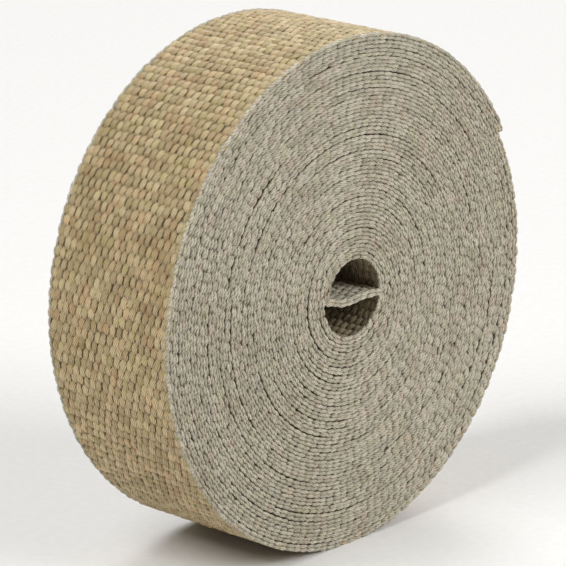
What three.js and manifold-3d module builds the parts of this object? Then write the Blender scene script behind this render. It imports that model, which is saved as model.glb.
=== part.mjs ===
// Exhaust heat wrap: one woven tape wound into a roll that stands on its tread.
// Millimetres, +Z up. The roll's axis runs along Y, and the face with the flap shows towards -Y.
// The origin is at the bottom centre. Angles run clockwise from the top, seen from -Y.

import * as THREE from 'three';
import { mergeGeometries, mergeVertices } from 'three/addons/utils/BufferGeometryUtils.js';
import Module from 'manifold-3d';

const wasm = await Module();
wasm.setup();

// Driving dimensions of the tape and its roll
const TAPE_WIDTH = 50.8;
const TURN_PITCH = 2.42;
const TURN_COUNT = 28;
const BORE_RADIUS = 12.0;
const BORE_OFFSET = 0.6;
const EDGE_RIDGE = 0.7;

// Driving dimensions of the inner end, the flap across the bore
const FLAP_THICKNESS = 2.0;
const FLAP_BEND_RADIUS = 2.2;
const FLAP_DROP = 1.35;
const FLAP_WAVE = 0.3;
const FLAP_END_GAP = 0.3;
const TURN_GRIP = 0.3;

// Facets of one turn, of the bend and of the flap
const STEPS_PER_TURN = 38;
const STEPS_FROM_TAIL_TO_FOOT = 12.5;
const BEND_STEPS = 4;
const FLAP_STEPS = 12;

// Woven glass fibre tape: grey beige, matt
const WOVEN_GLASS = new THREE.MeshStandardMaterial({ color: 0xa79f8a, roughness: 0.9, metalness: 0 });

const fullTurn = 2 * Math.PI;
const stepAngle = fullTurn / STEPS_PER_TURN;
const tailAngle = Math.PI - STEPS_FROM_TAIL_TO_FOOT * stepAngle;

// A point of the roll in X and Z. Half turns count the tape's thickness outwards from the bore's wall,
// two to a turn, and the bore lies a little to the right of the tread's middle.
function rollPoint(angle, halfTurns) {
  const radius = BORE_RADIUS + (halfTurns * TURN_PITCH) / 2;
  const shift = BORE_OFFSET * (1 - halfTurns / (2 * TURN_COUNT + 2));
  return new THREE.Vector2(shift + radius * Math.sin(angle), radius * Math.cos(angle));
}

// The bore's wall winds outwards: after one whole turn it has moved out by one pitch
function wallHalfTurns(angle) {
  return (2 * (angle - tailAngle)) / fullTurn;
}

// Each turn is a ridge on both end faces, proud at its middle and low where two turns meet
function faceDepth(halfTurns) {
  return TAPE_WIDTH / 2 - (halfTurns % 2 === 0 ? EDGE_RIDGE : 0);
}

// The section of all the turns as a closed loop: out along the front face and back along the other
function sectionLoop() {
  const halves = Array.from({ length: 2 * TURN_COUNT + 1 }, (unused, half) => half);
  const front = halves.map((half) => ({ half, y: -faceDepth(half) }));
  const back = halves.reverse().map((half) => ({ half, y: faceDepth(half) }));
  return [...front, ...back, front[0]];
}

// The section is turned about Y, and its points move outwards as they go round, so that every
// ridge ends where the next one starts.
function woundTurns() {
  const loop = sectionLoop();
  const profile = loop.map(({ half, y }) => new THREE.Vector2(rollPoint(0, half).y, y));
  const geometry = new THREE.LatheGeometry(profile, STEPS_PER_TURN, tailAngle, fullTurn);
  for (let step = 0; step <= STEPS_PER_TURN; step += 1) {
    const angle = tailAngle + (step % STEPS_PER_TURN) * stepAngle;
    loop.forEach(({ half, y }, index) => {
      const point = rollPoint(angle, half + (2 * step) / STEPS_PER_TURN);
      geometry.attributes.position.setXYZ(step * loop.length + index, point.x, y, point.y);
    });
  }
  return geometry;
}

// The square cut across the tape where the turns start at the bore or stop at the tread
function tapeCut(firstHalf, facesClockwise) {
  const halves = [firstHalf, firstHalf + 1, firstHalf + 2];
  const front = halves.map((half) => new THREE.Vector2(half, -faceDepth(half)));
  const back = halves.reverse().map((half) => new THREE.Vector2(half, faceDepth(half)));
  const geometry = new THREE.ShapeGeometry(new THREE.Shape([...front, ...back]));
  const position = geometry.attributes.position;
  for (let index = 0; index < position.count; index += 1) {
    const point = rollPoint(tailAngle, position.getX(index));
    position.setXYZ(index, point.x, position.getY(index), point.y);
  }
  if (facesClockwise) {
    geometry.index.array.reverse();
  }
  return geometry;
}

// The inner end lines the top of the bore, bends round at its left wall and crosses to the right
// wall in a shallow wave. The outline runs along its side towards the bore, then back.
function innerEndOutline() {
  const boreSide = [];
  const wallSide = [];
  const gripHalfTurns = (2 * TURN_GRIP) / TURN_PITCH;

  const buriedAngle = tailAngle + stepAngle / 2;
  boreSide.push(rollPoint(buriedAngle, wallHalfTurns(buriedAngle) + 1));
  wallSide.push(rollPoint(buriedAngle, wallHalfTurns(buriedAngle) + 2 + gripHalfTurns));

  const bendTop = FLAP_BEND_RADIUS - FLAP_DROP;
  const wallRadius = BORE_RADIUS + TURN_PITCH / 2;
  const bendAngle = -Math.acos(bendTop / wallRadius);
  for (let angle = tailAngle; angle > bendAngle + stepAngle / 2; angle -= stepAngle) {
    boreSide.push(rollPoint(angle, wallHalfTurns(angle)));
    wallSide.push(rollPoint(angle, wallHalfTurns(angle) + 2 + gripHalfTurns));
  }

  const middle = rollPoint(bendAngle, wallHalfTurns(bendAngle) + 1);
  const bendX = middle.x + FLAP_BEND_RADIUS;
  const bendZ = middle.y;
  for (let step = 0; step <= BEND_STEPS; step += 1) {
    const angle = Math.PI + (Math.PI / 2) * (step / BEND_STEPS);
    const along = new THREE.Vector2(Math.cos(angle), Math.sin(angle));
    const centre = new THREE.Vector2(bendX, bendZ);
    boreSide.push(centre.clone().addScaledVector(along, FLAP_BEND_RADIUS - FLAP_THICKNESS / 2));
    wallSide.push(centre.clone().addScaledVector(along, FLAP_BEND_RADIUS + FLAP_THICKNESS / 2));
  }

  const endX = rollPoint(Math.PI / 2, wallHalfTurns(Math.PI / 2)).x - FLAP_END_GAP;
  for (let step = 1; step <= FLAP_STEPS; step += 1) {
    const share = step / FLAP_STEPS;
    const x = THREE.MathUtils.lerp(bendX, endX, share);
    const z = bendZ - FLAP_BEND_RADIUS - FLAP_WAVE * Math.sin(fullTurn * share);
    boreSide.push(new THREE.Vector2(x, z + FLAP_THICKNESS / 2));
    wallSide.push(new THREE.Vector2(x, z - FLAP_THICKNESS / 2));
  }
  return new THREE.Shape([...boreSide, ...wallSide.reverse()]);
}

function innerEnd() {
  const geometry = new THREE.ExtrudeGeometry(innerEndOutline(), { depth: TAPE_WIDTH, bevelEnabled: false });
  return geometry.rotateX(Math.PI / 2).translate(0, TAPE_WIDTH / 2, 0);
}

function toSolid(geometry) {
  geometry.deleteAttribute('normal');
  geometry.deleteAttribute('uv');
  const merged = mergeVertices(geometry);
  return new wasm.Manifold(new wasm.Mesh({
    numProp: 3,
    vertProperties: merged.attributes.position.array,
    triVerts: Uint32Array.from(merged.index.array),
  }));
}

function toGeometry(solid) {
  const mesh = solid.getMesh();
  const geometry = new THREE.BufferGeometry();
  geometry.setAttribute('position', new THREE.BufferAttribute(mesh.vertProperties, mesh.numProp));
  geometry.setIndex(new THREE.BufferAttribute(mesh.triVerts, 1));
  return geometry;
}

// The roll is turned by the slope of the facet under it, so that it stands level on that facet
function footSlope() {
  const stepsBefore = STEPS_FROM_TAIL_TO_FOOT - 0.5;
  const [before, after] = [stepsBefore, stepsBefore + 1].map((step) => {
    return rollPoint(tailAngle + step * stepAngle, 2 * TURN_COUNT + (2 * step) / STEPS_PER_TURN);
  });
  return Math.atan2(before.y - after.y, before.x - after.x);
}

const turns = toSolid(mergeGeometries([
  woundTurns(),
  tapeCut(0, false),
  tapeCut(2 * TURN_COUNT, true),
]));
const wrapGeometry = toGeometry(turns.add(toSolid(innerEnd())));
wrapGeometry.rotateY(footSlope());
wrapGeometry.computeBoundingBox();

const wrap = new THREE.Mesh(wrapGeometry, WOVEN_GLASS);
wrap.name = 'wound_wrap';
const box = wrapGeometry.boundingBox;
wrap.position.set(-(box.min.x + box.max.x) / 2, 0, -box.min.z);

const heatWrap = new THREE.Group();
heatWrap.add(wrap);

export default heatWrap;
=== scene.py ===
# Exhaust heat wrap: a roll of woven glass fibre tape that stands on its tread.
# Lengths are in millimetres until a mesh is made, and the frame's X, Y and Z are kept.
# "Along" runs along the tape from its inner cut end, "across" is Y, and "height" is the distance
# from the tape's middle surface, outwards from the bore.

import math

import bpy
import numpy as np
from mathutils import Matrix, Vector


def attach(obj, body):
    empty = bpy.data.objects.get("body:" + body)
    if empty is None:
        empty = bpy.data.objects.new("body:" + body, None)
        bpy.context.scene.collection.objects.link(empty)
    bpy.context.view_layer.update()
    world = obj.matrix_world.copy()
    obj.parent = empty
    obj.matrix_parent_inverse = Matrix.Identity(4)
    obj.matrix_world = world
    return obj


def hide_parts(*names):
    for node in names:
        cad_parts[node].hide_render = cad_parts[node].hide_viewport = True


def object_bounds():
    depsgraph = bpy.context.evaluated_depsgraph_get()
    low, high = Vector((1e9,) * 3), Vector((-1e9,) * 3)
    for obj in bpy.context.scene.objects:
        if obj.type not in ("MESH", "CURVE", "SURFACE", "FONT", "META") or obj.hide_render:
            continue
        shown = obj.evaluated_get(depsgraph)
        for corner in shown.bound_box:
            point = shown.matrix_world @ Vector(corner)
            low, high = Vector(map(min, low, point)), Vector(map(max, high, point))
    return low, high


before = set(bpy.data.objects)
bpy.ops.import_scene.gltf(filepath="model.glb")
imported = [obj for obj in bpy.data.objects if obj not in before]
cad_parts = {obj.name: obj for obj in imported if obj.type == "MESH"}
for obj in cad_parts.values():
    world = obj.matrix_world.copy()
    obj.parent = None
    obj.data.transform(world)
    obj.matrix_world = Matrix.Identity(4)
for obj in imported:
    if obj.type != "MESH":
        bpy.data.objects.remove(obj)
cad_low, cad_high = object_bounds()

MM = 0.001
SEED = 41

# The roll, in the same sizes as its solid
WRAP_NODE = "wound_wrap"
TAPE_WIDTH = (cad_high.y - cad_low.y) / MM
TURN_PITCH = 2.42
TURN_COUNT = 28
BORE_RADIUS = 12.0
BORE_OFFSET = 0.6
STEPS_PER_TURN = 38
STEPS_FROM_TAIL_TO_FOOT = 12.5
TAIL_ANGLE = math.pi - STEPS_FROM_TAIL_TO_FOOT * 2 * math.pi / STEPS_PER_TURN
ROLL_MIDDLE_X = 0.59
ROLL_MIDDLE_Z = 80.28

# How the turns wander in and out, in turns every so many radians, and sideways, in mm along the tape
TURN_WANDER = 0.03
TURN_WANDER_SPACING = 0.8
SIDE_WANDER = 0.16
SIDE_WANDER_SPACING = 60.0

# The flap, which is the tape's inner end
FLAP_BEND_RADIUS = 2.2
FLAP_DROP = 1.35
FLAP_WAVE = 0.3
FLAP_LIFT = 1.5
FLAP_LIFT_SHARE = 0.45
FLAP_END_GAP = 0.3

# How finely the tape's line is worked out: points on the flap and its bend, degrees on the turns
FLAP_POINTS = 200
BEND_POINTS = 40
TURN_STEP = 1.0

# The weave: yarns along the tape pass over and under the rows of weft yarn
WARP_COUNT = 38
ROW_SPACING = 3.2
SELVAGE_MARGIN = 0.45
WARP_SPACING = (TAPE_WIDTH - 2 * SELVAGE_MARGIN) / WARP_COUNT
OUTERMOST_INSET = 1.65
OUTERMOST_WARP = TAPE_WIDTH / 2 - OUTERMOST_INSET
TAPE_THICKNESS = 2.3

# The tape's core, which carries the yarns and is seen only between them: thick between the turns
# and thin where the yarns on one of its sides show
CORE_EDGE = 0.8
CORE_THICK_SIDE = 0.85
CORE_THIN_SIDE = 0.25

# A warp yarn's crossing, as it shows on the tread
CROSSING_LENGTH = 4.6
CROSSING_WIDTH = 2.62
CROSSING_THICKNESS = 1.1
CROSSING_SINK = 0.65
CROSSING_SIDES = 8

# A crossing of the outermost warps, as it shows on the selvage, two rows of them to a turn
EDGE_LENGTH = 4.4
EDGE_THICKNESS = 1.25
EDGE_HEIGHT = 0.59
EDGE_RISE = 0.14
EDGE_TUCK = 0.45
EDGE_STEP_BACK = 0.18
EDGE_SIDES = 7

# Both kinds are full along their middle, fuller still near their ends, and then draw in sharply.
# Vertices that lie this close along the yarn are one ring of it.
YARN_RINGS = 5
RING_DEPTH = 0.02
FULL_SWELL = 1.04
CROSSING_END_SWELL = 1.22
EDGE_END_SWELL = 1.2
SWELL_FROM = 0.5
SWELL_TO = 0.95
END_CURVE = 2.4

# How far one crossing differs from the next: in proportion, in slope and, in mm, in its place
YARN_LEAN = -0.05
LEAN_SPREAD = 0.07
SIZE_SPREAD = 0.07
SIZE_LIMITS = (0.85, 1.15)
ALONG_SPREAD = 0.18
ACROSS_SPREAD = 0.08
HEIGHT_SPREAD = 0.06

# A yarn's cut end, at the tape's two cut ends
CUT_END_LENGTH = 3.0
CUT_END_WIDTH = 1.05
CUT_END_SPLAY = 1.3
CUT_END_REACH = 0.7
CUT_END_HEIGHT = 0.5

# Loose places between the turns, by the turn inside each, the angle of its middle and half its span
SLACK_GAP = 0.3
SLACK_ARCS = (
    (1.6, 97, 25), (2.7, 261, 72), (6.2, 236, 52), (8.6, 256, 50), (8.6, 60, 50), (12.1, 90, 22),
    (13.0, 246, 56), (15.3, 298, 53), (15.6, 79, 18), (18.7, 250, 29), (20.0, 88, 20), (21.2, 269, 19),
    (22.9, 48, 30), (24.3, 278, 28), (25.3, 220, 28), (26.0, 110, 16), (27.0, 317, 25),
)

# The plies twisted in each yarn, the fibre streaks along and round it, and the patches over the weave
PLY_WIDTH = 0.66
PLY_SLOPE = 0.36
PLY_GROOVE = 0.12
STREAKS_PER_MM = (0.7, 8.0)
STREAK_DEPTH = 0.08
SMALL_PATCH = 4.35
BROAD_PATCH = 14.3
OCHRE_SHARE = 0.6

# How much a crossing's own tint, from 0 to 1, shifts its plies and its streaks
PLY_SHUFFLE = 20.0
STREAK_SHUFFLE = 60.0

# A yarn's tone: what it starts from, and what its crown, tint, streaks and plies each add. The crown's
# and the plies' shares are painted light and shade: lighter on the crown and on the plies, darker at the
# ends and in the grooves between plies.
TONE_START = 0.17
PAINTED_SHADING_OF_CROWN = 0.15
TONE_OF_TINT = 0.26
TONE_OF_STREAKS = 0.42
PAINTED_SHADING_OF_PLIES = 0.15

# Camera, from the outlines of the roll in the photo: where it stands, where it looks, its lens
CAMERA_PLACE = (-0.7965, -0.7311, 0.4026)
CAMERA_AIM = (0.7044, 0.6496, -0.2862)
PHOTO_SIZE = 566
PHOTO_FOCAL = 3628.24
SENSOR_WIDTH = 36.0

# The studio, in metres
FLOOR_SIZE = 30
LIGHTS_AIM = (0, 0, 0.08)

rng = np.random.default_rng(SEED)


# The tape's path through the roll

def smooth_wander(positions, spacing, amount, generator):
    """A slow random wander of the given amount, with a new target every spacing."""
    count = int(np.max(positions) / spacing) + 3
    targets = generator.normal(0.0, amount, count)
    place = np.clip(positions / spacing, 0, count - 2)
    index = place.astype(int)
    share = place - index
    share = share * share * (3 - 2 * share)
    return targets[index] * (1 - share) + targets[index + 1] * share


def roll_point(angle, turns_out):
    """X and Z on the roll, at an angle clockwise from the top and a number of turns from the bore."""
    radius = BORE_RADIUS + turns_out * TURN_PITCH
    shift = BORE_OFFSET * (1 - turns_out / (TURN_COUNT + 1))
    return shift + radius * np.sin(angle), radius * np.cos(angle)


def middle_turns(angle):
    """How many turns out the tape's middle lies, at an angle that runs on from turn to turn."""
    return (angle - TAIL_ANGLE) / (2 * math.pi) + 0.5


def slack(angle):
    """The loose places: the turn inside each one moves in there, and the next turn out moves out."""
    moved = np.zeros_like(angle)
    for turn, middle, half_span in SLACK_ARCS:
        centre = TAIL_ANGLE + 2 * math.pi * (turn - 0.5)
        centre += (math.radians(middle) - centre + math.pi) % (2 * math.pi) - math.pi
        for place, side in ((centre, -0.5), (centre + 2 * math.pi, 0.5)):
            share = np.clip(np.abs(angle - place) / math.radians(half_span), 0, 1)
            moved += side * SLACK_GAP / TURN_PITCH * (1 - share ** 2) ** 2
    return moved


def flap_points():
    """The flap from its cut end at the right wall, and its bend up into the left wall."""
    wall_radius = BORE_RADIUS + TURN_PITCH / 2
    bend_angle = -math.acos((FLAP_BEND_RADIUS - FLAP_DROP) / wall_radius)
    wall_x, wall_z = roll_point(bend_angle, middle_turns(bend_angle))
    bend_x = wall_x + FLAP_BEND_RADIUS
    end_x = roll_point(math.pi / 2, middle_turns(math.pi / 2) - 0.5)[0] - FLAP_END_GAP
    share = np.linspace(1, 0, FLAP_POINTS)
    flat_x = bend_x + (end_x - bend_x) * share
    flat_z = wall_z - FLAP_BEND_RADIUS - FLAP_WAVE * np.sin(2 * math.pi * share)
    flat_z += FLAP_LIFT * np.clip(1 - share / FLAP_LIFT_SHARE, 0, 1) ** 2
    turn = np.linspace(1.5 * math.pi, math.pi, BEND_POINTS)[1:-1]
    bend = (
        bend_x + FLAP_BEND_RADIUS * np.cos(turn),
        wall_z + (FLAP_BEND_RADIUS - FLAP_LIFT) * np.sin(turn),
    )
    return bend_angle, np.concatenate([flat_x, bend[0]]), np.concatenate([flat_z, bend[1]])


def tape_line():
    """The tape's middle line from cut end to cut end: distance, X, Z and the outward direction. The
    turns wander, but not the innermost and outermost ones, which keep to the solid's bore and tread."""
    bend_angle, flap_x, flap_z = flap_points()
    last_angle = TAIL_ANGLE + TURN_COUNT * 2 * math.pi
    angle = np.arange(bend_angle, last_angle, math.radians(TURN_STEP))
    turns = middle_turns(angle)
    wander = smooth_wander(angle - bend_angle, TURN_WANDER_SPACING, TURN_WANDER, rng)
    free = np.clip(turns - 0.5, 0, 1) * np.clip(TURN_COUNT - 0.5 - turns, 0, 1)
    wound_x, wound_z = roll_point(angle, turns + free * (wander + slack(angle)))
    x = np.concatenate([flap_x, wound_x]) + ROLL_MIDDLE_X
    z = np.concatenate([flap_z, wound_z]) + ROLL_MIDDLE_Z
    steps = np.hypot(np.diff(x), np.diff(z))
    along = np.concatenate([[0], np.cumsum(steps)])
    run_x, run_z = np.gradient(x, along), np.gradient(z, along)
    size = np.hypot(run_x, run_z)
    return {
        "along": along,
        "x": x,
        "z": z,
        "out_x": -run_z / size,
        "out_z": run_x / size,
        "flap_end": along[len(flap_x)],
        "angle_start": bend_angle,
        "angles": np.concatenate([np.full(len(flap_x), bend_angle), angle]),
    }


line = tape_line()
tape_length = line["along"][-1]
side_wander = smooth_wander(line["along"], SIDE_WANDER_SPACING, SIDE_WANDER, rng)


def lay(along, across, height):
    """Points on the wound tape, in millimetres, from places on the flat tape."""
    read = {key: np.interp(along, line["along"], line[key]) for key in ("x", "z", "out_x", "out_z")}
    beyond = np.clip(along - tape_length, 0, None) + np.clip(along, None, 0)
    x = read["x"] + height * read["out_x"] + beyond * read["out_z"]
    z = read["z"] + height * read["out_z"] - beyond * read["out_x"]
    y = across + np.interp(along, line["along"], side_wander)
    return np.stack([x, y, z], axis=-1)


def along_at(angle):
    """Distance along the tape at an angle that runs on from turn to turn."""
    return float(np.interp(angle, line["angles"], line["along"]))


# Shapes, each modelled once on the flat tape: X along, Y across, Z up from the tape's middle

def deselect_all():
    bpy.ops.object.select_all(action="DESELECT")


def end_edit():
    bpy.ops.mesh.select_all(action="DESELECT")
    bpy.ops.object.mode_set(mode="OBJECT")


def spindle(length, width, thickness, sides):
    """A closed spindle along X, from which the yarn shapes are drawn out."""
    deselect_all()
    bpy.ops.mesh.primitive_uv_sphere_add(segments=sides, ring_count=YARN_RINGS, radius=1)
    piece = bpy.context.object
    bpy.ops.object.mode_set(mode="EDIT")
    bpy.ops.transform.rotate(value=math.pi / 2, orient_axis="Y", center_override=(0, 0, 0))
    bpy.ops.transform.resize(value=(length / 2, width / 2, thickness / 2), center_override=(0, 0, 0))
    end_edit()
    return piece


def ring_places(piece):
    return sorted({round(vertex.co.x, 3) for vertex in piece.data.vertices})


def move_ring(piece, place, shift, swell):
    """Moves the ring of vertices at one place along the yarn, and resizes it by swell."""
    for vertex in piece.data.vertices:
        vertex.select = abs(vertex.co.x - place) < RING_DEPTH
    bpy.ops.object.mode_set(mode="EDIT")
    bpy.ops.transform.resize(value=(1, *swell), center_override=(place, 0, 0))
    bpy.ops.transform.translate(value=shift)
    end_edit()


def take_shape(piece, crown_axis):
    """The modelled yarn as arrays: its points and faces, how far each point is from the yarn's ends
    and sides towards its crown, and the distance round the yarn."""
    mesh = piece.data
    points = np.array([vertex.co for vertex in mesh.vertices])
    reach = np.abs(points[:, 0]) / np.abs(points[:, 0]).max()
    outward = points[:, 2] if crown_axis == "Z" else -points[:, 1]
    depth = (outward.max() - outward) / CROSSING_THICKNESS
    shape = {
        "points": points,
        "corners": np.concatenate([list(face.vertices) for face in mesh.polygons]),
        "counts": np.array([len(face.vertices) for face in mesh.polygons]),
        "crown": np.clip(1 - reach ** 2, 0, 1) * np.clip(1 - depth, 0, 1),
        "round": points[:, 1] if crown_axis == "Z" else points[:, 2],
    }
    bpy.data.objects.remove(piece)
    return shape


def model_crossing():
    """A warp yarn where it passes over a weft row: full in the middle, drawn in and sunk at its ends."""
    piece = spindle(CROSSING_LENGTH, CROSSING_WIDTH, CROSSING_THICKNESS, CROSSING_SIDES)
    for place in ring_places(piece):
        share = abs(place) / (CROSSING_LENGTH / 2)
        swell = CROSSING_END_SWELL if SWELL_FROM < share < SWELL_TO else FULL_SWELL
        sink = -CROSSING_SINK * share ** END_CURVE
        move_ring(piece, place, (0, 0, sink), (swell, FULL_SWELL))
    return take_shape(piece, "Z")


def model_edge_crossing():
    """An outermost warp where it passes along the selvage: it rises a little as it runs along, and
    its ends turn in behind the next ones."""
    piece = spindle(EDGE_LENGTH, EDGE_THICKNESS, EDGE_THICKNESS, EDGE_SIDES)
    for place in ring_places(piece):
        share = place / (EDGE_LENGTH / 2)
        inward = EDGE_THICKNESS / 2 + EDGE_TUCK * abs(share) ** END_CURVE
        swell = EDGE_END_SWELL if SWELL_FROM < abs(share) < SWELL_TO else FULL_SWELL
        move_ring(piece, place, (0, inward, EDGE_RISE * share), (swell, swell))
    return take_shape(piece, "Y")


def model_cut_end():
    """A yarn that ends at a cut: a short length of it, with its fibres splayed at the ends."""
    deselect_all()
    bpy.ops.mesh.primitive_cylinder_add(
        vertices=CROSSING_SIDES, radius=CUT_END_WIDTH / 2, depth=CUT_END_LENGTH, end_fill_type="TRIFAN",
    )
    piece = bpy.context.object
    bpy.ops.object.mode_set(mode="EDIT")
    bpy.ops.transform.rotate(value=math.pi / 2, orient_axis="Y", center_override=(0, 0, 0))
    end_edit()
    for place in ring_places(piece):
        move_ring(piece, place, (0, 0, 0), (CUT_END_SPLAY, CUT_END_SPLAY))
    return take_shape(piece, "Z")


def model_core():
    """The tape's core, laid flat: one long strip, cut across about once for each row of the weave. The
    cuts are made in two passes, so that each pass cuts only the edges that run along the tape."""
    deselect_all()
    bpy.ops.mesh.primitive_cube_add(size=1)
    piece = bpy.context.object
    rows = int(tape_length / ROW_SPACING)
    size = (tape_length, TAPE_WIDTH - 2 * CORE_EDGE, TAPE_THICKNESS)
    bpy.ops.object.mode_set(mode="EDIT")
    bpy.ops.transform.translate(value=(0.5, 0, 0))
    bpy.ops.transform.resize(value=size, center_override=(0, 0, 0))
    end_edit()
    bpy.context.tool_settings.mesh_select_mode = (False, True, False)
    cuts = round(math.sqrt(rows)) - 1
    for longest in (tape_length, tape_length / (cuts + 1)):
        for edge in piece.data.edges:
            ends = [piece.data.vertices[index].co.x for index in edge.vertices]
            edge.select = abs(ends[0] - ends[1]) > longest * 0.9
        bpy.ops.object.mode_set(mode="EDIT")
        bpy.ops.mesh.subdivide(number_cuts=cuts)
        end_edit()
    bpy.context.tool_settings.mesh_select_mode = (True, False, False)
    return piece


# Joining the copies of a yarn shape into one mesh

def mesh_piece(name, points, corners, counts):
    mesh = bpy.data.meshes.new(name)
    mesh.vertices.add(len(points))
    mesh.vertices.foreach_set("co", (points * MM).astype(np.float32).ravel())
    mesh.loops.add(len(corners))
    mesh.loops.foreach_set("vertex_index", corners.astype(np.int32))
    mesh.polygons.add(len(counts))
    starts = np.concatenate([[0], np.cumsum(counts)[:-1]])
    mesh.polygons.foreach_set("loop_start", starts.astype(np.int32))
    mesh.polygons.foreach_set("use_smooth", np.full(len(counts), True))
    mesh.update(calc_edges=True)
    piece = bpy.data.objects.new(name, mesh)
    bpy.context.scene.collection.objects.link(piece)
    return piece


def yarn_piece(name, shape, along, across, height, mirror_across=False, mirror_height=False):
    """One mesh with a copy of the yarn shape at each place on the tape, each a little different."""
    copies = len(along)
    generator = np.random.default_rng(SEED + sum(map(ord, name)))
    points = shape["points"]
    stretch = np.clip(generator.normal(1.0, SIZE_SPREAD, (copies, 1)), *SIZE_LIMITS)
    fatten = np.clip(generator.normal(1.0, SIZE_SPREAD, (copies, 1)), *SIZE_LIMITS)
    skew = generator.normal(YARN_LEAN, LEAN_SPREAD, (copies, 1))
    side_y = -1.0 if mirror_across else 1.0
    side_z = -1.0 if mirror_height else 1.0
    local_x = points[None, :, 0] * stretch
    local_y = points[None, :, 1] * fatten + local_x * skew
    local_z = points[None, :, 2] * np.sqrt(fatten)
    along_all = along[:, None] + generator.normal(0.0, ALONG_SPREAD, (copies, 1)) + local_x
    across_all = across[:, None] + generator.normal(0.0, ACROSS_SPREAD, (copies, 1)) + side_y * local_y
    height_all = height[:, None] + generator.normal(0.0, HEIGHT_SPREAD, (copies, 1)) + side_z * local_z
    placed = lay(along_all, across_all, height_all).reshape(-1, 3)

    # A mirrored yarn is inside out until its faces are listed the other way round
    size = len(points)
    corners = shape["corners"]
    mirrored = mirror_across != mirror_height
    if mirrored:
        faces = np.split(corners, np.cumsum(shape["counts"])[:-1])
        corners = np.concatenate([face[::-1] for face in faces])
    corners_all = (corners[None, :] + size * np.arange(copies)[:, None]).ravel()
    counts_all = np.tile(shape["counts"], copies)
    piece = mesh_piece(name, placed, corners_all, counts_all)

    # What its material reads: distance along the tape, distance round the yarn, and its crown
    yarn = np.stack([
        along_all.ravel(),
        np.tile(shape["round"], copies) * (-1.0 if mirrored else 1.0),
        np.tile(shape["crown"], copies),
    ], axis=-1)
    attribute = piece.data.attributes.new("yarn", "FLOAT_VECTOR", "POINT")
    attribute.data.foreach_set("vector", yarn.astype(np.float32).ravel())
    tint = np.repeat(generator.random(copies), size)
    attribute = piece.data.attributes.new("tint", "FLOAT", "POINT")
    attribute.data.foreach_set("value", tint.astype(np.float32))
    return piece


# Materials

def linear(code):
    """Linear colour from an sRGB hex value."""
    channels = [int(code[i:i + 2], 16) / 255 for i in (0, 2, 4)]
    return [c / 12.92 if c <= 0.04045 else ((c + 0.055) / 1.055) ** 2.4 for c in channels] + [1.0]


def add_node(material, kind, inputs=None, **settings):
    """A node with its settings, whose inputs are given as values or as the sockets that feed them."""
    node = material.node_tree.nodes.new(kind)
    for name, value in settings.items():
        setattr(node, name, value)
    for name, value in (inputs or {}).items():
        if isinstance(value, bpy.types.NodeSocket):
            material.node_tree.links.new(value, node.inputs[name])
        else:
            node.inputs[name].default_value = value
    return node


def new_material(name):
    material = bpy.data.materials.new(name)
    material.use_nodes = True
    material.node_tree.nodes.clear()
    return material


def plies_and_streaks(material, along, around, tint):
    """The grooves between the plies, one every PLY_WIDTH round the yarn and turning with it as it runs
    along, and the long thin fibre streaks that follow them."""
    climb = add_node(material, "ShaderNodeMath", {0: along, 1: PLY_SLOPE}, operation="MULTIPLY")
    turned = add_node(material, "ShaderNodeMath", {0: around, 1: climb.outputs[0]}, operation="ADD")
    phase = add_node(material, "ShaderNodeMath", {0: turned.outputs[0], 1: 2 * math.pi / PLY_WIDTH},
                     operation="MULTIPLY")
    shuffled = add_node(material, "ShaderNodeMath", {0: tint, 1: PLY_SHUFFLE, 2: phase.outputs[0]},
                        operation="MULTIPLY_ADD")
    plies = add_node(material, "ShaderNodeMath", {0: shuffled.outputs[0]}, operation="SINE")
    place = add_node(material, "ShaderNodeCombineXYZ", {"X": along, "Y": turned.outputs[0], "Z": tint})
    scaled = add_node(material, "ShaderNodeMapping", {
        "Vector": place.outputs[0], "Scale": (*STREAKS_PER_MM, STREAK_SHUFFLE),
    })
    streaks = add_node(material, "ShaderNodeTexNoise", {
        "Vector": scaled.outputs[0], "Scale": 1.0, "Detail": 3.0,
    })
    return plies.outputs[0], streaks.outputs["Fac"]


def yarn_tone(material, crown, tint, streaks, plies, dark, middle, light):
    """Painted highlight on the crown of each crossing, and painted shade at its ends and in the grooves
    between plies.
    """
    tone = add_node(material, "ShaderNodeMath", {0: crown, 1: PAINTED_SHADING_OF_CROWN, 2: TONE_START},
                    operation="MULTIPLY_ADD")
    for source, share in ((tint, TONE_OF_TINT), (streaks, TONE_OF_STREAKS), (plies, PAINTED_SHADING_OF_PLIES)):
        tone = add_node(material, "ShaderNodeMath", {0: source, 1: share, 2: tone.outputs[0]},
                        operation="MULTIPLY_ADD")
    ramp = add_node(material, "ShaderNodeValToRGB", {"Fac": tone.outputs[0]})
    ramp.color_ramp.elements[0].position = 0.18
    ramp.color_ramp.elements[0].color = linear(dark)
    ramp.color_ramp.elements[1].position = 0.85
    ramp.color_ramp.elements[1].color = linear(light)
    ramp.color_ramp.elements.new(0.48).color = linear(middle)
    return ramp.outputs["Color"]


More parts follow.
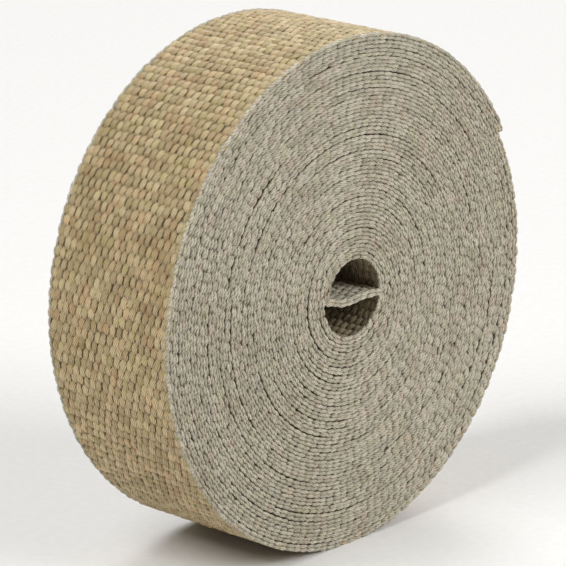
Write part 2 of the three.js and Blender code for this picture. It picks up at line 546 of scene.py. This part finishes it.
def stain(material, colour, patches):
    """Lays small olive and pinkish patches, a few yarns wide, and broad ochre ones over a colour."""
    place = add_node(material, "ShaderNodeTexCoord").outputs["Object"]
    small = add_node(material, "ShaderNodeTexNoise", {
        "Vector": place, "Scale": 1 / (SMALL_PATCH * MM), "Detail": 2.0,
    })
    hues = add_node(material, "ShaderNodeValToRGB", {"Fac": small.outputs["Fac"]})
    hues.color_ramp.elements[0].position = 0.32
    hues.color_ramp.elements[0].color = linear("e6e6b8")
    hues.color_ramp.elements[1].position = 0.68
    hues.color_ramp.elements[1].color = linear("ffe0cc")
    hues.color_ramp.elements.new(0.5).color = linear("ffffff")
    hued = add_node(material, "ShaderNodeMixRGB", {
        "Fac": patches, "Color1": colour, "Color2": hues.outputs["Color"],
    }, blend_type="MULTIPLY")
    broad = add_node(material, "ShaderNodeTexNoise", {
        "Vector": place, "Scale": 1 / (BROAD_PATCH * MM), "Detail": 3.0,
    })
    ochre = add_node(material, "ShaderNodeMapRange", {
        "Value": broad.outputs["Fac"], "From Min": 0.5, "From Max": 0.72, "To Max": OCHRE_SHARE * patches,
    })
    stained = add_node(material, "ShaderNodeMixRGB", {
        "Fac": ochre.outputs[0], "Color1": hued.outputs["Color"], "Color2": linear("c9ad7c"),
    }, blend_type="MULTIPLY")
    return stained.outputs["Color"]


def glass_yarn(name, dark, middle, light, patches):
    """Plied glass fibre yarn, woven, dusty and matt. Each crossing has a tone of its own, the plies
    twist round the yarn, fine fibres run along it, and patches of other hues lie over the weave, as
    strong as patches says."""
    material = new_material(name)
    yarn = add_node(material, "ShaderNodeAttribute", attribute_name="yarn")
    tint = add_node(material, "ShaderNodeAttribute", attribute_name="tint").outputs["Fac"]
    parts = add_node(material, "ShaderNodeSeparateXYZ", {"Vector": yarn.outputs["Vector"]})
    along, around, crown = (parts.outputs[axis] for axis in ("X", "Y", "Z"))
    plies, streaks = plies_and_streaks(material, along, around, tint)
    toned = yarn_tone(material, crown, tint, streaks, plies, dark, middle, light)
    grain = add_node(material, "ShaderNodeBump", {
        "Height": streaks, "Strength": 0.6, "Distance": STREAK_DEPTH * MM,
    })
    relief = add_node(material, "ShaderNodeBump", {
        "Height": plies, "Strength": 0.8, "Distance": PLY_GROOVE * MM, "Normal": grain.outputs["Normal"],
    })
    shader = add_node(material, "ShaderNodeBsdfPrincipled", {
        "Base Color": stain(material, toned, patches), "Roughness": 0.6,
        "Normal": relief.outputs["Normal"], "Sheen Weight": 0.12, "Sheen Roughness": 0.5,
    })
    add_node(material, "ShaderNodeOutputMaterial", {"Surface": shader.outputs["BSDF"]})
    return material


def mottled_finish(name, dark, light, grain):
    """A dull finish with soft mottling and a fine tooth, both with spots of the given size in mm."""
    material = new_material(name)
    place = add_node(material, "ShaderNodeTexCoord").outputs["Object"]
    spots = add_node(material, "ShaderNodeTexNoise", {
        "Vector": place, "Scale": 1 / (grain * MM), "Detail": 4.0,
    })
    ramp = add_node(material, "ShaderNodeValToRGB", {"Fac": spots.outputs["Fac"]})
    ramp.color_ramp.elements[0].position = 0.3
    ramp.color_ramp.elements[0].color = linear(dark)
    ramp.color_ramp.elements[1].position = 0.7
    ramp.color_ramp.elements[1].color = linear(light)
    tooth = add_node(material, "ShaderNodeBump", {
        "Height": spots.outputs["Fac"], "Strength": 0.3, "Distance": 0.1 * grain * MM,
    })
    shader = add_node(material, "ShaderNodeBsdfPrincipled", {
        "Base Color": ramp.outputs["Color"], "Roughness": 0.9, "Normal": tooth.outputs["Normal"],
    })
    add_node(material, "ShaderNodeOutputMaterial", {"Surface": shader.outputs["BSDF"]})
    return material


# The pieces

def belongs(piece, material):
    """Gives a piece its material and its slot, and sets it on the part's one body."""
    piece.data.materials.clear()
    piece.data.materials.append(material)
    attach(piece, "root")


def rows_between(first, last):
    return np.arange(math.ceil(first / ROW_SPACING), math.floor(last / ROW_SPACING) + 1)


def warp_places(rows, over):
    """Places of the crossings on one side of the tape: every second warp, shifted from row to row."""
    row, warp = np.meshgrid(rows, np.arange(WARP_COUNT), indexing="ij")
    shown = (row + warp) % 2 == (0 if over else 1)
    across = (warp[shown] - (WARP_COUNT - 1) / 2) * WARP_SPACING
    return row[shown] * ROW_SPACING, np.clip(across, -OUTERMOST_WARP, OUTERMOST_WARP)


def make_warps(name, first, last, over, crossing, material):
    """The crossings on one side of a stretch of the tape: its outer side where over is true."""
    along, across = warp_places(rows_between(first, last), over)
    side = 1 if over else -1
    height = np.full(len(along), side * (TAPE_THICKNESS - CROSSING_THICKNESS) / 2)
    belongs(yarn_piece(name, crossing, along, across, height, mirror_height=not over), material)


def make_core(material):
    """The core, wound onto the roll. It is thin where the yarns on the tread, the bore and the flap
    lie on it, and stands for the whole of the solid."""
    piece = model_core()
    piece.name = "tape_core"
    points = np.array([vertex.co for vertex in piece.data.vertices])
    along = points[:, 0]
    outer_side = np.where(along > last_turn_start, CORE_THIN_SIDE, CORE_THICK_SIDE)
    outer_side = np.where(along < line["flap_end"], CORE_THIN_SIDE, outer_side)
    inner_side = np.where(along < first_turn_end, CORE_THIN_SIDE, CORE_THICK_SIDE)
    height = np.where(points[:, 2] > 0, outer_side, -inner_side)
    wound = lay(along, points[:, 1], height) * MM
    piece.data.vertices.foreach_set("co", wound.astype(np.float32).ravel())
    piece.data.update()
    belongs(piece, material)
    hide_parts(WRAP_NODE)


def make_selvages(edge_crossing, material):
    """Both edges of every turn: two rows of crossings, each row proud and deeper by turns."""
    rows = rows_between(0, tape_length)
    for edge, outwards in (("front", -1), ("back", 1)):
        for side, over in (("outer", 1), ("inner", -1)):
            deeper = (rows + (over > 0)) % 2
            across = outwards * (TAPE_WIDTH / 2 - EDGE_STEP_BACK * deeper)
            height = np.full(len(rows), over * EDGE_HEIGHT)
            piece = yarn_piece(f"{edge}_{side}_edge", edge_crossing, rows * ROW_SPACING, across, height,
                               mirror_across=outwards > 0)
            belongs(piece, material)


def make_cut_ends(cut_end, material):
    """The warps' cut ends, in two layers, where the tape starts in the bore and stops on the tread."""
    side = (np.arange(WARP_COUNT) - (WARP_COUNT - 1) / 2) * WARP_SPACING
    side = np.clip(side, -OUTERMOST_WARP, OUTERMOST_WARP)
    inside = CUT_END_LENGTH / 2 - CUT_END_REACH
    along, across, height = [], [], []
    for cut in (inside, tape_length - inside):
        for layer in (-CUT_END_HEIGHT, CUT_END_HEIGHT):
            along.append(np.full(WARP_COUNT, cut))
            across.append(side)
            height.append(np.full(WARP_COUNT, layer))
    places = [np.concatenate(values) for values in (along, across, height)]
    belongs(yarn_piece("cut_ends", cut_end, *places), material)


# Floor, light and camera

def make_floor(material):
    deselect_all()
    bpy.ops.mesh.primitive_plane_add(size=FLOOR_SIZE)
    floor = bpy.context.object
    floor.name = "floor"
    floor.data.materials.append(material)


def make_softbox(name, place, size, power, aimed_at=LIGHTS_AIM):
    """A square soft light, with its place and size in metres and its power in watts."""
    lamp = bpy.data.lights.new(name, "AREA")
    lamp.size = size
    lamp.energy = power
    box = bpy.data.objects.new(name, lamp)
    box.location = place
    aim = Vector(aimed_at) - Vector(place)
    box.rotation_euler = aim.to_track_quat("-Z", "Y").to_euler()
    bpy.context.scene.collection.objects.link(box)


def make_sky(brightness):
    world = bpy.data.worlds.new("studio")
    world.use_nodes = True
    world.node_tree.nodes["Background"].inputs["Color"].default_value = (1, 1, 1, 1)
    world.node_tree.nodes["Background"].inputs["Strength"].default_value = brightness
    bpy.context.scene.world = world


def make_camera():
    camera = bpy.data.cameras.new("camera")
    camera.sensor_width = SENSOR_WIDTH
    camera.lens = PHOTO_FOCAL / PHOTO_SIZE * SENSOR_WIDTH
    stand = bpy.data.objects.new("camera", camera)
    stand.location = CAMERA_PLACE
    stand.rotation_euler = Vector(CAMERA_AIM).to_track_quat("-Z", "Y").to_euler()
    bpy.context.scene.collection.objects.link(stand)
    bpy.context.scene.camera = stand


make_camera()

# A floor of matt white paint, as even as paper
make_floor(mottled_finish("white_paint", "e2e1df", "e6e5e3", 3.0))
make_softbox("key", (0.6, -1.8, 1.3), 1.4, 38)
make_softbox("side", (-1.5, 0.1, 1.85), 1.2, 38)
make_softbox("back", (2.2, 2.0, 2.0), 2.0, 70, aimed_at=(1.4, 1.2, 0))
make_sky(0.18)
bpy.context.scene.view_settings.view_transform = "Standard"

last_turn_start = along_at(TAIL_ANGLE + (TURN_COUNT - 1) * 2 * math.pi)
first_turn_end = along_at(line["angle_start"] + 2 * math.pi)

crossing = model_crossing()
edge_crossing = model_edge_crossing()
cut_end = model_cut_end()

# All one yarn: tan on the tread and greyer on the selvages. On the bore's wall, which is in deep shade,
# it is darkened with painted shade, and the cut ends take the same darkened yarn. The core is packed
# yarn, seen only in the gaps.
tread_yarn = glass_yarn("tan_glass_yarn", "8a7653", "a48f67", "dac89d", 0.5)
edge_yarn = glass_yarn("grey_glass_yarn", "908878", "a39d8b", "cec7b4", 0.3)
shade_darkened_yarn = glass_yarn("glass_yarn_painted_shade", "5f533d", "7b6c50", "9c8c6d", 0.3)
# The core's colour is darker than the yarns': painted shade for the gaps between them, where it shows.
core_painted_shade_yarn = mottled_finish("core_yarn_painted_shade", "6b6250", "8a8069", 1.5)

make_core(core_painted_shade_yarn)
flap_end = line["flap_end"]
make_warps("tread_warps", last_turn_start - ROW_SPACING, tape_length, True, crossing, tread_yarn)
make_warps("flap_top_warps", 0, flap_end, False, crossing, edge_yarn)
make_warps("bore_warps", flap_end, first_turn_end + ROW_SPACING, False, crossing, shade_darkened_yarn)
make_warps("flap_warps", 0, flap_end, True, crossing, edge_yarn)
make_selvages(edge_crossing, edge_yarn)
# The cut ends take the bore's yarn, darkened with painted shade.
make_cut_ends(cut_end, shade_darkened_yarn)
